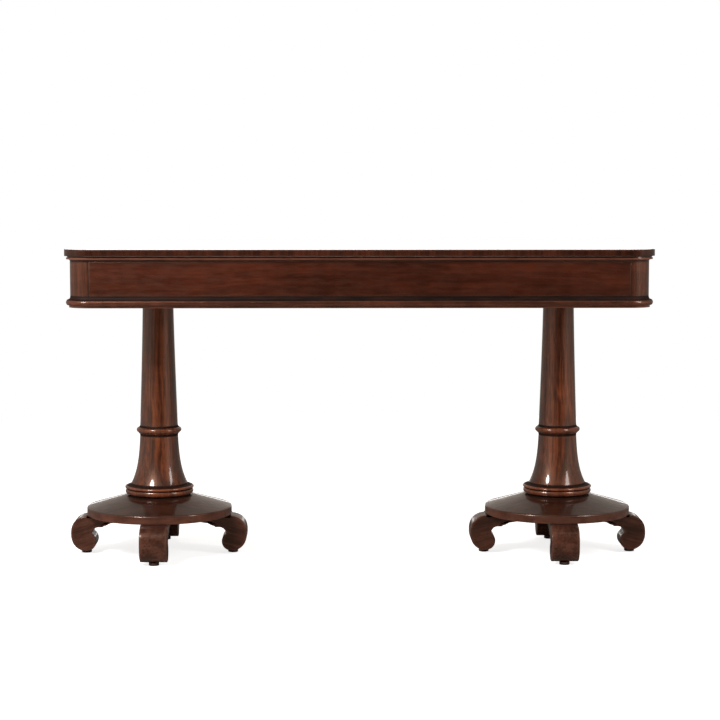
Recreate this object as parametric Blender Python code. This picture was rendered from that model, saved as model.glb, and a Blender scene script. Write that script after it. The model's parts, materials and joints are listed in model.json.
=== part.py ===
"""Writing desk with two frieze drawers, on two turned pedestals with scroll feet.

Metres, +Z up. The origin is on the floor under the middle of the top. +X runs along the desk, left
is -X, and the drawers open towards +Y, the front. The back, at -Y, is one plain frieze panel.
"""

import math

import bmesh
import bpy

# Driving dimensions
HEIGHT = 0.760
TOP_LENGTH = 1.372
TOP_DEPTH = 0.660
PEDESTAL_X = 0.492
GAP = 0.0003

# The top and the apron below it
OVERHANG = 0.0130
CORNER_RADIUS = 0.048
TOP_THICKNESS = 0.0158
TOP_FRAME_THICKNESS = 0.0119
FRIEZE_HEIGHT = 0.0797
BASE_FRAME_THICKNESS = 0.0266
PANEL_THICKNESS = 0.020
SIDE_RAIL_WIDTH = 0.082
ARRIS = 0.0008

HALF_X = TOP_LENGTH / 2 - OVERHANG
HALF_Y = TOP_DEPTH / 2 - OVERHANG
STRAIGHT_X = HALF_X - CORNER_RADIUS
STRAIGHT_Y = HALF_Y - CORNER_RADIUS
SIDE_RAIL_X = HALF_X - SIDE_RAIL_WIDTH
TOP_UNDERSIDE = HEIGHT - TOP_THICKNESS
TOP_FRAME_TOP = TOP_UNDERSIDE - GAP
TOP_FRAME_BOTTOM = TOP_FRAME_TOP - TOP_FRAME_THICKNESS
FRIEZE_TOP = TOP_FRAME_BOTTOM - GAP
FRIEZE_BOTTOM = FRIEZE_TOP - FRIEZE_HEIGHT
BASE_FRAME_TOP = FRIEZE_BOTTOM - GAP
BASE_FRAME_BOTTOM = BASE_FRAME_TOP - BASE_FRAME_THICKNESS

# Drawers and what they run on
DIVIDER_WIDTH = 0.020
DRAWER_SIDE_GAP = 0.0015
RUNNING_GAP = 0.0005
DRAWER_LENGTH = 0.560
DRAWER_SIDE_THICKNESS = 0.011
DRAWER_SIDE_HEIGHT = 0.0775
DRAWER_FRONT_LIFT = 0.001
DRAWER_FRONT_HEIGHT = 0.0778
DRAWER_BACK_HEIGHT = 0.060
GROOVE_BOTTOM = 0.006
GROOVE_HEIGHT = 0.0056
GROOVE_DEPTH = 0.005
KNOB_SPACING = 0.300
RUNNER_HALF_WIDTH = 0.034
RUNNER_THICKNESS = 0.012
GUIDE_HEIGHT = 0.038

DRAWER_HALF_WIDTH = (STRAIGHT_X - DIVIDER_WIDTH / 2) / 2 - DRAWER_SIDE_GAP
DRAWER_X = (STRAIGHT_X + DIVIDER_WIDTH / 2) / 2

# What holds the apron on the columns
BEARER_HALF_WIDTH = 0.060
BEARER_TOP = BASE_FRAME_TOP - RUNNING_GAP
BEARER_THICKNESS = 0.017
PLATE_HALF_WIDTH = 0.060
PLATE_THICKNESS = 0.005
PLATE_TOP = BEARER_TOP - BEARER_THICKNESS - GAP
COLUMN_TOP = PLATE_TOP - PLATE_THICKNESS - GAP

# Pedestals
PLATFORM_BOTTOM = 0.0965
PLATFORM_RADIUS = 0.178
PLATFORM_SEAT = 0.1446
PLATFORM_SEAT_RADIUS = 0.082
RIM_TOP = 0.1137
RIM_ROUNDING = 0.0035
TENON_RADIUS = 0.025
COLLAR_BASE = PLATFORM_SEAT + GAP
COLLAR_RADIUS = 0.0845
FLARE_BOTTOM = COLLAR_BASE + 0.0262
RING_HEIGHT = 0.306
FLARE_TOP = RING_HEIGHT - 0.0150
SHAFT_BOTTOM = 0.3185
SHAFT_TOP_RADIUS = 0.0374
SHAFT_SPREAD = 0.0088
FOOT_THICKNESS = 0.066
FOOT_BOTTOM = 0.008
GLIDE_REACH = 0.181
GLIDE_RADIUS = 0.0124

TURNED_SEGMENTS = 32
PLATFORM_SEGMENTS = 48
SMALL_SEGMENTS = 16
SCROLL_FULLNESS = 2.35
SMOOTH_ANGLE = math.radians(35)


def finish(name, colour, roughness, metallic=0.0):
    made = bpy.data.materials.new(name)
    made.use_nodes = True
    shader = made.node_tree.nodes["Principled BSDF"]
    shader.inputs["Base Color"].default_value = (*colour, 1.0)
    shader.inputs["Roughness"].default_value = roughness
    shader.inputs["Metallic"].default_value = metallic
    return made


def place(name, mesh, material, location=(0, 0, 0), rotation=(0, 0, 0), parent=None):
    """Puts a mesh in the scene as a named piece."""
    piece = bpy.data.objects.new(name, mesh)
    if not mesh.materials:
        mesh.materials.append(material)
    piece.location = location
    piece.rotation_euler = rotation
    piece.parent = parent
    bpy.context.scene.collection.objects.link(piece)
    return piece


def solid(rings, closed_section=False):
    """A closed mesh through rings of points. The end rings are filled, or joined to each other."""
    bm = bmesh.new()
    loops = [[bm.verts.new(point) for point in ring] for ring in rings]
    pairs = list(zip(loops, loops[1:]))
    if closed_section:
        pairs.append((loops[-1], loops[0]))
    else:
        bm.faces.new(loops[0])
        bm.faces.new(loops[-1])
    count = len(loops[0])
    for low, high in pairs:
        for i in range(count):
            j = (i + 1) % count
            bm.faces.new((low[i], low[j], high[j], high[i]))
    bmesh.ops.recalc_face_normals(bm, faces=bm.faces)
    mesh = bpy.data.meshes.new("piece")
    bm.to_mesh(mesh)
    bm.free()
    mesh.shade_smooth()
    mesh.set_sharp_from_angle(angle=SMOOTH_ANGLE)
    return mesh


def arc(centre, radii, start, end, steps):
    """Points on an ellipse's arc, from one angle to another in degrees."""
    points = []
    for i in range(steps + 1):
        angle = math.radians(start + (end - start) * i / steps)
        points.append((centre[0] + radii[0] * math.cos(angle), centre[1] + radii[1] * math.sin(angle)))
    return points


def full_arc(centre, radii, start, end, steps):
    """Points on an arc of an oval that is squarer than an ellipse, by angles in degrees."""
    power = 2 / SCROLL_FULLNESS
    points = []
    for i in range(steps + 1):
        angle = math.radians(start + (end - start) * i / steps)
        across = math.copysign(abs(math.cos(angle)) ** power, math.cos(angle))
        up = math.copysign(abs(math.sin(angle)) ** power, math.sin(angle))
        points.append((centre[0] + radii[0] * across, centre[1] + radii[1] * up))
    return points


def turned(outline, segments, closed_section=False):
    """A piece turned on the lathe about Z, from an outline of (radius, height) points."""
    rings = []
    for radius, height in outline:
        turns = [2 * math.pi * i / segments for i in range(segments)]
        rings.append([(radius * math.cos(turn), radius * math.sin(turn), height) for turn in turns])
    return solid(rings, closed_section)


def box(low, high):
    """A board between two opposite corners."""
    corners = [(low[0], low[1]), (high[0], low[1]), (high[0], high[1]), (low[0], high[1])]
    return solid([[(x, y, z) for x, y in corners] for z in (low[2], high[2])])


def board(name, low, high, material, location=(0, 0, 0), parent=None):
    """A straight board with its sharp edges taken off."""
    piece = place(name, box(low, high), material, location, parent=parent)
    bevel = piece.modifiers.new("arris", "BEVEL")
    bevel.width = ARRIS
    bevel.segments = 1
    bevel.limit_method = "ANGLE"


def top_moulding():
    """(projection, height) up the edge of the frame under the top: a cove, a fillet and a quirk."""
    cove = 0.0046
    fillet = 0.0085
    quirk = 0.0044
    fillet_top = TOP_FRAME_TOP - 0.0030
    hollow = arc((cove, TOP_FRAME_BOTTOM), (cove, cove), 180, 90, 4)
    edge = [(fillet, hollow[-1][1]), (fillet, fillet_top), (quirk, fillet_top), (quirk, TOP_FRAME_TOP)]
    return hollow + edge


def base_moulding():
    """(projection, height) up the edge of the frame under the frieze: a fillet, a bead and a cove."""
    fillet = 0.0028
    fillet_top = 0.0049
    bead_root = 0.0045
    bead_swell = 0.0054
    bead_half_height = 0.0067
    bead_middle = BASE_FRAME_BOTTOM + fillet_top + bead_half_height
    bead_top = bead_middle + bead_half_height
    bead = arc((bead_root, bead_middle), (bead_swell, bead_half_height), -90, 90, 6)
    cove = arc((bead_root, BASE_FRAME_TOP), (bead_root, BASE_FRAME_TOP - bead_top), -90, -180, 3)
    return [(fillet, BASE_FRAME_BOTTOM), (fillet, BASE_FRAME_BOTTOM + fillet_top)] + bead + cove[1:]


def corner(projection, side_x, side_y):
    """The rounded corner of the apron in plan, from its end face round to its long face."""
    radius = CORNER_RADIUS + projection
    quarter = arc((STRAIGHT_X, STRAIGHT_Y), (radius, radius), 0, 90, 6)
    return [(side_x * x, side_y * y) for x, y in quarter]


def long_rail(moulding, side_y):
    """A rail along the front or back whose moulded edge goes round both corners."""
    rings = []
    for projection, height in moulding:
        plan = corner(projection, 1, side_y) + corner(projection, -1, side_y)[::-1]
        rings.append([(x, y, height) for x, y in plan])
    return solid(rings)


def side_rail(moulding, side_x):
    """A rail across one end, between the long rails."""
    end = STRAIGHT_Y - GAP
    rings = []
    for projection, height in moulding:
        inner = side_x * SIDE_RAIL_X
        outer = side_x * (HALF_X + projection)
        plan = [(inner, -end), (outer, -end), (outer, end), (inner, end)]
        rings.append([(x, y, height) for x, y in plan])
    return solid(rings)


def frame(name, moulding, material):
    """Four rails that make one moulded frame."""
    place(f"{name}_front_rail", long_rail(moulding, 1), material)
    place(f"{name}_back_rail", long_rail(moulding, -1), material)
    place(f"{name}_left_rail", side_rail(moulding, -1), material)
    place(f"{name}_right_rail", side_rail(moulding, 1), material)


def table_top(material):
    edge = [
        (OVERHANG - ARRIS, TOP_UNDERSIDE),
        (OVERHANG, TOP_UNDERSIDE + ARRIS),
        (OVERHANG, HEIGHT - ARRIS),
        (OVERHANG - ARRIS, HEIGHT),
    ]
    rings = []
    for projection, height in edge:
        plan = corner(projection, 1, 1) + corner(projection, -1, 1)[::-1]
        plan += corner(projection, -1, -1) + corner(projection, 1, -1)[::-1]
        rings.append([(x, y, height) for x, y in plan])
    place("table_top", solid(rings), material)


def corner_posts(material):
    for side_y, depth in ((1, "front"), (-1, "back")):
        for side_x, side in ((-1, "left"), (1, "right")):
            plan = corner(0, side_x, side_y) + [(side_x * STRAIGHT_X, side_y * STRAIGHT_Y)]
            rings = [[(x, y, z) for x, y in plan] for z in (FRIEZE_BOTTOM, FRIEZE_TOP)]
            place(f"corner_post_{depth}_{side}", solid(rings), material)


def frieze_panels(material):
    long_end = STRAIGHT_X - GAP
    inner_y = HALF_Y - PANEL_THICKNESS
    board("back_frieze", (-long_end, -HALF_Y, FRIEZE_BOTTOM), (long_end, -inner_y, FRIEZE_TOP), material)
    short_end = STRAIGHT_Y - GAP
    inner_x = HALF_X - PANEL_THICKNESS
    for side_x, side in ((-1, "left"), (1, "right")):
        xs = sorted((side_x * inner_x, side_x * HALF_X))
        low = (xs[0], -short_end, FRIEZE_BOTTOM)
        high = (xs[1], short_end, FRIEZE_TOP)
        board(f"end_frieze_{side}", low, high, material)


def drawer_housing(veneer, inner_wood):
    """The divider, centre runner, centre kicker and side guides that the drawers work in."""
    half = DIVIDER_WIDTH / 2
    board("drawer_divider", (-half, STRAIGHT_Y, FRIEZE_BOTTOM), (half, HALF_Y, FRIEZE_TOP), veneer)
    end = STRAIGHT_Y - GAP
    section = [
        (-RUNNER_HALF_WIDTH, BASE_FRAME_TOP - RUNNER_THICKNESS),
        (RUNNER_HALF_WIDTH, BASE_FRAME_TOP - RUNNER_THICKNESS),
        (RUNNER_HALF_WIDTH, BASE_FRAME_TOP),
        (half, BASE_FRAME_TOP),
        (half, BASE_FRAME_TOP + GUIDE_HEIGHT),
        (-half, BASE_FRAME_TOP + GUIDE_HEIGHT),
        (-half, BASE_FRAME_TOP),
        (-RUNNER_HALF_WIDTH, BASE_FRAME_TOP),
    ]
    place("centre_runner", solid([[(x, y, z) for x, z in section] for y in (-end, end)]), inner_wood)
    low = (-RUNNER_HALF_WIDTH, -end, TOP_FRAME_BOTTOM)
    board("centre_kicker", low, (RUNNER_HALF_WIDTH, end, TOP_FRAME_TOP), inner_wood)
    inner = STRAIGHT_X - GAP
    outer = HALF_X - PANEL_THICKNESS - GAP
    for side_x, side in ((-1, "left"), (1, "right")):
        xs = sorted((side_x * inner, side_x * outer))
        low = (xs[0], -end, FRIEZE_BOTTOM)
        board(f"drawer_guide_{side}", low, (xs[1], end, FRIEZE_BOTTOM + GUIDE_HEIGHT), inner_wood)


def drawer_side(side_x):
    """A drawer side with the groove that holds the bottom, as a section run from front to back."""
    outer = side_x * DRAWER_HALF_WIDTH
    inner = side_x * (DRAWER_HALF_WIDTH - DRAWER_SIDE_THICKNESS)
    groove = inner + side_x * GROOVE_DEPTH
    section = [
        (outer, 0),
        (inner, 0),
        (inner, GROOVE_BOTTOM),
        (groove, GROOVE_BOTTOM),
        (groove, GROOVE_BOTTOM + GROOVE_HEIGHT),
        (inner, GROOVE_BOTTOM + GROOVE_HEIGHT),
        (inner, DRAWER_SIDE_HEIGHT),
        (outer, DRAWER_SIDE_HEIGHT),
    ]
    return solid([[(x, y, z) for x, z in section] for y in (-DRAWER_LENGTH, -PANEL_THICKNESS - GAP)])


def drawer_front():
    """A drawer front with a groove along its back, as a section run from side to side."""
    low = DRAWER_FRONT_LIFT
    high = low + DRAWER_FRONT_HEIGHT
    back = -PANEL_THICKNESS
    groove = back + GROOVE_DEPTH
    section = [
        (-ARRIS, low),
        (0, low + ARRIS),
        (0, high - ARRIS),
        (-ARRIS, high),
        (back, high),
        (back, GROOVE_BOTTOM + GROOVE_HEIGHT),
        (groove, GROOVE_BOTTOM + GROOVE_HEIGHT),
        (groove, GROOVE_BOTTOM),
        (back, GROOVE_BOTTOM),
        (back, low),
    ]
    ends = (-DRAWER_HALF_WIDTH, DRAWER_HALF_WIDTH)
    return solid([[(x, y, z) for y, z in section] for x in ends])


def knob_outline():
    """(radius, distance from the drawer front) of a turned knob: a rose, a neck and a flattened head."""
    rose_radius = 0.0105
    rose_edge = 0.0018
    neck_foot = (0.0062, 0.0038)
    neck_top = (0.0055, 0.0090)
    head_middle = 0.0180
    head_radii = (0.0140, 0.0075)
    head = arc((0, head_middle), head_radii, -40, 75, 6)
    return [(rose_radius, GAP), (rose_radius, rose_edge), neck_foot, neck_top] + head


def drawer(name, centre_x, veneer, inner_wood, brass):
    """One drawer. Its parts hang on an empty at the foot of its front face, on the line it slides along."""
    slide = bpy.data.objects.new(f"{name}_slide", None)
    slide.location = (centre_x, HALF_Y, BASE_FRAME_TOP + RUNNING_GAP)
    bpy.context.scene.collection.objects.link(slide)
    place(f"{name}_front", drawer_front(), veneer, parent=slide)
    place(f"{name}_left_side", drawer_side(-1), inner_wood, parent=slide)
    place(f"{name}_right_side", drawer_side(1), inner_wood, parent=slide)
    between = DRAWER_HALF_WIDTH - DRAWER_SIDE_THICKNESS - GAP
    back_bottom = GROOVE_BOTTOM + GROOVE_HEIGHT
    low = (-between, -DRAWER_LENGTH, back_bottom)
    high = (between, DRAWER_SIDE_THICKNESS - DRAWER_LENGTH, back_bottom + DRAWER_BACK_HEIGHT)
    board(f"{name}_back", low, high, inner_wood, parent=slide)
    reach = between + GROOVE_DEPTH
    low = (-reach, -DRAWER_LENGTH, GROOVE_BOTTOM + GAP)
    high = (reach, GROOVE_DEPTH - PANEL_THICKNESS - GAP, GROOVE_BOTTOM + GROOVE_HEIGHT - GAP)
    place(f"{name}_bottom", box(low, high), inner_wood, parent=slide)
    knob_height = DRAWER_FRONT_LIFT + DRAWER_FRONT_HEIGHT / 2
    for side_x, side in ((-1, "left"), (1, "right")):
        where = (side_x * KNOB_SPACING / 2, 0, knob_height)
        knob = turned(knob_outline(), SMALL_SEGMENTS)
        place(f"{name}_{side}_knob", knob, brass, where, (-math.pi / 2, 0, 0), slide)


def collar_outline():
    """(radius, height) up the column's collar: a plain neck, a bead and a thinner lip above it."""
    neck_radius = 0.0740
    neck_height = 0.0032
    bead_radii = (0.0045, 0.0050)
    bead_middle = COLLAR_BASE + neck_height + bead_radii[1]
    lip_radii = (0.0040, 0.0037)
    lip_middle = COLLAR_BASE + 0.0170
    neck = [(neck_radius, COLLAR_BASE), (neck_radius, COLLAR_BASE + neck_height)]
    bead = arc((neck_radius + bead_radii[0], bead_middle), bead_radii, -90, 80, 4)
    lip = arc((COLLAR_RADIUS - lip_radii[0], lip_middle), lip_radii, -80, 90, 4)
    return neck + bead + lip


def flare_outline():
    """(radius, height) up the trumpet flare, which narrows exponentially from its foot to the ring."""
    narrow_radius = 0.0446
    spread_at_foot = 0.0260
    fading_height = 0.047
    steps = 10
    points = []
    for i in range(steps + 1):
        height = FLARE_BOTTOM + (FLARE_TOP - FLARE_BOTTOM) * i / steps
        spread = spread_at_foot * math.exp((FLARE_BOTTOM - height) / fading_height)
        points.append((narrow_radius + spread, height))
    return points


def ring_outline():
    """(radius, height) up the ring on the column, with the hollows that lead into it and out of it."""
    ring_root = 0.0500
    ring_radii = (0.0051, 0.0059)
    foot_radii = (0.0035, 0.0070)
    head_root = 0.0505
    head_radii = (0.0042, 0.0062)
    foot = arc((ring_root, FLARE_TOP), foot_radii, 180, 90, 2)
    ring = arc((ring_root, RING_HEIGHT), ring_radii, -80, 80, 6)
    head = arc((head_root, SHAFT_BOTTOM), head_radii, -90, -170, 2)
    return foot + ring + head


def shaft_outline():
    """(radius, height) up the shaft, which tapers a little less towards its top."""
    swelling = 1.25
    steps = 6
    points = []
    for i in range(1, steps + 1):
        height = SHAFT_BOTTOM + (COLUMN_TOP - SHAFT_BOTTOM) * i / steps
        below_top = (COLUMN_TOP - height) / (COLUMN_TOP - SHAFT_BOTTOM)
        points.append((SHAFT_TOP_RADIUS + SHAFT_SPREAD * below_top**swelling, height))
    return points


def column_outline():
    """(radius, height) up the whole column, from the foot of its tenon."""
    tenon = [(TENON_RADIUS, PLATFORM_BOTTOM), (TENON_RADIUS, COLLAR_BASE)]
    return tenon + collar_outline() + flare_outline() + ring_outline() + shaft_outline()


def platform_outline():
    """(radius, height) round the section of the domed platform, with the socket for the tenon."""
    socket = TENON_RADIUS + GAP
    rim_foot = 0.002
    steps = 5
    rounding = arc((PLATFORM_RADIUS - RIM_ROUNDING, RIM_TOP), (RIM_ROUNDING, RIM_ROUNDING), 0, 70, 3)
    edge_radius, edge_height = rounding[-1]
    dome = []
    for i in range(1, steps + 1):
        share = i / steps
        radius = edge_radius + (PLATFORM_SEAT_RADIUS - edge_radius) * share
        dome.append((radius, edge_height + (PLATFORM_SEAT - edge_height) * share))
    section = [(socket, PLATFORM_BOTTOM), (PLATFORM_RADIUS - rim_foot, PLATFORM_BOTTOM)]
    section.append((PLATFORM_RADIUS, PLATFORM_BOTTOM + rim_foot))
    return section + rounding + dome + [(socket, PLATFORM_SEAT)]


def foot_outline():
    """(reach, height) round the side of a scroll foot, from its root under the platform."""
    top = PLATFORM_BOTTOM - GAP
    root_reach = 0.060
    root_bottom = 0.084
    scroll_centre = (0.1705, 0.0515)
    scroll_half_width = 0.0458
    scroll_rise = 0.0430
    scroll_drop = 0.0450
    curl_centre = (0.1775, 0.0310)
    curl_radius = curl_centre[1] - FOOT_BOTTOM
    notch_centre = (0.1486, 0.0500)
    notch_radius = 0.0164
    rim_notch = PLATFORM_RADIUS + GAP
    shoulder = full_arc(scroll_centre, (scroll_half_width, scroll_rise), 81, 0, 7)
    root = [(root_reach, root_bottom), (root_reach, top), (rim_notch, top), (rim_notch, shoulder[0][1])]
    toe = full_arc(scroll_centre, (scroll_half_width, scroll_drop), 0, -73.7, 7)
    curl = arc(curl_centre, (curl_radius, curl_radius), -90, -236, 9)
    notch = arc(notch_centre, (notch_radius, notch_radius), 0, 90, 4)
    bracket = [(0.1385, 0.0664), (0.1360, 0.0690), (0.1290, 0.0710), (0.1200, 0.0760), (0.0900, 0.0800)]
    return root + shoulder[1:] + toe[1:] + curl + notch[1:] + bracket


def scroll_foot():
    half = FOOT_THICKNESS / 2
    return solid([[(x, y, z) for x, z in foot_outline()] for y in (-half, half)])


def glide():
    """A round glide nailed under a foot."""
    top = FOOT_BOTTOM - GAP
    rounding = 0.001
    outline = [(GLIDE_RADIUS - rounding, 0), (GLIDE_RADIUS, rounding), (GLIDE_RADIUS, top)]
    return turned(outline, SMALL_SEGMENTS)


def pedestal(side, centre_x, wood, inner_wood, steel, glide_plastic):
    """A column on its platform and feet, with the plate and the bearer that carry the apron."""
    place(f"column_{side}", turned(column_outline(), TURNED_SEGMENTS), wood, (centre_x, 0, 0))
    platform = turned(platform_outline(), PLATFORM_SEGMENTS, closed_section=True)
    place(f"platform_{side}", platform, wood, (centre_x, 0, 0))
    towards_right = "outer" if centre_x > 0 else "inner"
    towards_left = "inner" if centre_x > 0 else "outer"
    foot_mesh = scroll_foot()
    glide_mesh = glide()
    for turn, direction in enumerate((towards_right, "front", towards_left, "back")):
        angle = turn * math.pi / 2
        place(f"foot_{side}_{direction}", foot_mesh, wood, (centre_x, 0, 0), (0, 0, angle))
        x = centre_x + GLIDE_REACH * math.cos(angle)
        y = GLIDE_REACH * math.sin(angle)
        place(f"glide_{side}_{direction}", glide_mesh, glide_plastic, (x, y, 0))
    low = (-PLATE_HALF_WIDTH, -PLATE_HALF_WIDTH, PLATE_TOP - PLATE_THICKNESS)
    high = (PLATE_HALF_WIDTH, PLATE_HALF_WIDTH, PLATE_TOP)
    board(f"mounting_plate_{side}", low, high, steel, (centre_x, 0, 0))
    end = STRAIGHT_Y - GAP
    low = (-BEARER_HALF_WIDTH, -end, BEARER_TOP - BEARER_THICKNESS)
    board(f"cross_bearer_{side}", low, (BEARER_HALF_WIDTH, end, BEARER_TOP), inner_wood, (centre_x, 0, 0))


def clear_scene():
    for old in list(bpy.data.objects):
        bpy.data.objects.remove(old)


def main():
    clear_scene()
    veneer = finish("mahogany_veneer", (0.072, 0.017, 0.009), 0.25)
    wood = finish("mahogany_solid", (0.080, 0.022, 0.012), 0.28)
    inner_wood = finish("secondary_wood", (0.46, 0.30, 0.16), 0.55)
    brass = finish("antique_brass", (0.52, 0.37, 0.15), 0.32, 1.0)
    steel = finish("zinc_plated_steel", (0.55, 0.55, 0.54), 0.40, 1.0)
    glide_plastic = finish("brown_plastic", (0.045, 0.016, 0.010), 0.45)
    table_top(veneer)
    frame("top_frame", top_moulding(), wood)
    frame("base_frame", base_moulding(), wood)
    corner_posts(wood)
    frieze_panels(veneer)
    drawer_housing(veneer, inner_wood)
    drawer("drawer_left", -DRAWER_X, veneer, inner_wood, brass)
    drawer("drawer_right", DRAWER_X, veneer, inner_wood, brass)
    pedestal("left", -PEDESTAL_X, wood, inner_wood, steel, glide_plastic)
    pedestal("right", PEDESTAL_X, wood, inner_wood, steel, glide_plastic)


main()
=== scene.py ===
"""Looks of the writing desk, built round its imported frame.

Metres, in the frame's axes: +X along the desk, +Y towards the sitter, +Z up. The desk's back, at
-Y, faces the camera. Each fine piece is made where its CAD node is, and stands for that node.
"""

import json
import math
import random

import bmesh
import bpy
from mathutils import Matrix, Vector


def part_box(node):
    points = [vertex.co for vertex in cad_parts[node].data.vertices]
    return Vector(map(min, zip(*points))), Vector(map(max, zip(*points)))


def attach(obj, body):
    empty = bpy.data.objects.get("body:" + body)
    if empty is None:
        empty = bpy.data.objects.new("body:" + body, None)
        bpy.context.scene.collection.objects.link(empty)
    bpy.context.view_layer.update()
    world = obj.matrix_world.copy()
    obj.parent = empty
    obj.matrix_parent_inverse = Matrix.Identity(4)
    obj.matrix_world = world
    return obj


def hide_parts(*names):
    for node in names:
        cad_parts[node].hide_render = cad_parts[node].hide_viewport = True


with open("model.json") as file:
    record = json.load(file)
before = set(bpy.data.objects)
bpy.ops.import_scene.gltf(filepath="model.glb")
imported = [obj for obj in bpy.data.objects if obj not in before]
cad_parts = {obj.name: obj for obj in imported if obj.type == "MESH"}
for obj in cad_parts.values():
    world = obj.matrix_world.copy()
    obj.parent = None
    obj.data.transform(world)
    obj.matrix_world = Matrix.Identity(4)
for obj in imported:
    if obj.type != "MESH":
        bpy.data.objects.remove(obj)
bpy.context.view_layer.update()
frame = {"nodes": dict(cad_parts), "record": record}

RECORD = frame["record"]
BODY_OF = {node: body for body, nodes in RECORD["behaviour"]["bodies"].items() for node in nodes}

# The apron's plan, read from a corner post, and the top's overhang past it
POST_LOW, POST_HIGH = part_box("corner_post_front_right")
STRAIGHT_X, STRAIGHT_Y = POST_LOW.x, POST_LOW.y
HALF_X, HALF_Y = POST_HIGH.x, POST_HIGH.y
CORNER_RADIUS = HALF_X - STRAIGHT_X
TOP_LOW, TOP_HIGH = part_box("table_top")
OVERHANG = TOP_HIGH.x - HALF_X

GAP = 0.0003
SHARP_ANGLE = math.radians(32)
BORDER_WIDTH = 0.045
CORNER_STEPS = 18
TURNED_SEGMENTS = 96
PLATFORM_SEGMENTS = 144
SMALL_SEGMENTS = 40
SCROLL_FULLNESS = 2.35


# ---------------- outlines


def arc(centre, radii, start, end, steps):
    """Points on an ellipse's arc, from one angle to another in degrees."""
    points = []
    for i in range(steps + 1):
        angle = math.radians(start + (end - start) * i / steps)
        x = centre[0] + radii[0] * math.cos(angle)
        y = centre[1] + radii[1] * math.sin(angle)
        points.append(Vector((x, y)))
    return points


def full_arc(centre, radii, start, end, steps):
    """Points on an arc of an oval that is squarer than an ellipse, by angles in degrees."""
    power = 2 / SCROLL_FULLNESS
    points = []
    for i in range(steps + 1):
        angle = math.radians(start + (end - start) * i / steps)
        across = math.copysign(abs(math.cos(angle)) ** power, math.cos(angle))
        up = math.copysign(abs(math.sin(angle)) ** power, math.sin(angle))
        points.append(Vector((centre[0] + radii[0] * across, centre[1] + radii[1] * up)))
    return points


def soften(outline, reach, closed=False):
    """The outline with a small curve in place of each sharp corner."""
    eased = []
    count = len(outline)
    for k, point in enumerate(outline):
        if not closed and k in (0, count - 1):
            eased.append(point)
            continue
        before = outline[k - 1] - point
        after = outline[(k + 1) % count] - point
        if math.pi - before.angle(after) < SHARP_ANGLE:
            eased.append(point)
            continue
        cut = min(reach, 0.4 * before.length, 0.4 * after.length)
        start = point + before.normalized() * cut
        end = point + after.normalized() * cut
        for share in (0, 1 / 3, 2 / 3, 1):
            one = start.lerp(point, share)
            two = point.lerp(end, share)
            eased.append(one.lerp(two, share))
    return eased


def point_along(outline, lengths, distance):
    """The point that is some distance along an outline."""
    distance = min(max(distance, 0), lengths[-1])
    for k in range(1, len(outline)):
        if lengths[k] >= distance:
            span = lengths[k] - lengths[k - 1]
            share = (distance - lengths[k - 1]) / span if span else 0
            return outline[k - 1].lerp(outline[k], share)
    return outline[-1]


def hollows_and_crests(outline, reach=0.0035, hollow_gain=3.6, crest_gain=2.2):
    """How deep in a hollow each point of an upward outline lies, and how proud it stands, 0 to 1. The
    materials paint the hollows darker, glaze with painted shade, and the crests lighter, wear with painted
    highlight.
    """
    lengths = [0.0]
    for a, b in zip(outline, outline[1:]):
        lengths.append(lengths[-1] + (b - a).length)
    marks = []
    for point, length in zip(outline, lengths):
        a = point_along(outline, lengths, length - reach)
        b = point_along(outline, lengths, length + reach)
        along = b - a
        if along.length < reach / 10:
            marks.append((0.0, 1.0))
            continue
        outward = Vector((along.y, -along.x)).normalized()
        stands = (point - (a + b) / 2).dot(outward) / reach
        marks.append((min(max(-stands * hollow_gain, 0), 1), min(max(stands * crest_gain, 0), 1)))
    return marks


# ---------------- meshes


def loft(rings, marks=None, closed_section=False):
    """A closed mesh through rings of points, with each ring's hollow and crest marks on its points. The
    hollow mark makes the colour darker, glaze together with painted shade, and the crest mark makes it
    lighter, wear together with painted highlight.
    """
    bm = bmesh.new()
    # darker colour in hollows, at joints and under other parts: glaze together with painted shade; lighter
    # colour on crests: wear together with painted highlight
    hollow = bm.verts.layers.float.new("glaze_and_shade")
    crest = bm.verts.layers.float.new("wear_and_highlight")
    loops = []
    for k, ring in enumerate(rings):
        loop = [bm.verts.new(point) for point in ring]
        for vert in loop:
            vert[hollow] = marks[k][0] if marks else 0.0
            vert[crest] = marks[k][1] if marks else 0.0
        loops.append(loop)
    pairs = list(zip(loops, loops[1:]))
    if closed_section:
        pairs.append((loops[-1], loops[0]))
    else:
        bm.faces.new(loops[0])
        bm.faces.new(loops[-1])
    count = len(loops[0])
    for low, high in pairs:
        for i in range(count):
            j = (i + 1) % count
            bm.faces.new((low[i], low[j], high[j], high[i]))
    bmesh.ops.recalc_face_normals(bm, faces=bm.faces)
    return bm


def turned(outline, segments, closed_section=False):
    """A piece turned on the lathe about Z, from an outline of (radius, height) points."""
    rings = []
    for radius, height in outline:
        turns = [2 * math.pi * i / segments for i in range(segments)]
        rings.append([(radius * math.cos(turn), radius * math.sin(turn), height) for turn in turns])
    return loft(rings, hollows_and_crests(outline), closed_section)


def bevelled(bm, width, inset):
    """Rounds the sharp edges of a mesh, and marks them to be lighter beside clean flats: rubbed wear together
    with a painted highlight.
    """
    crest = bm.verts.layers.float.get("wear_and_highlight")
    narrowest = 2.5 * inset
    flats = list(bm.faces)
    sharp = [e for e in bm.edges if len(e.link_faces) == 2 and e.calc_face_angle() > SHARP_ANGLE]
    bmesh.ops.bevel(bm, geom=sharp, offset=width, offset_type="OFFSET", segments=3, profile=0.5,
                    affect="EDGES", clamp_overlap=True)
    # the rounded edges get a painted highlight along with their wear
    for vert in bm.verts:
        vert[crest] = 1.0
    flats = [f for f in flats if f.is_valid and min(e.calc_length() for e in f.edges) > narrowest]
    bmesh.ops.inset_individual(bm, faces=flats, thickness=inset)
    for face in flats:
        for vert in face.verts:
            vert[crest] = 0.0


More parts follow.
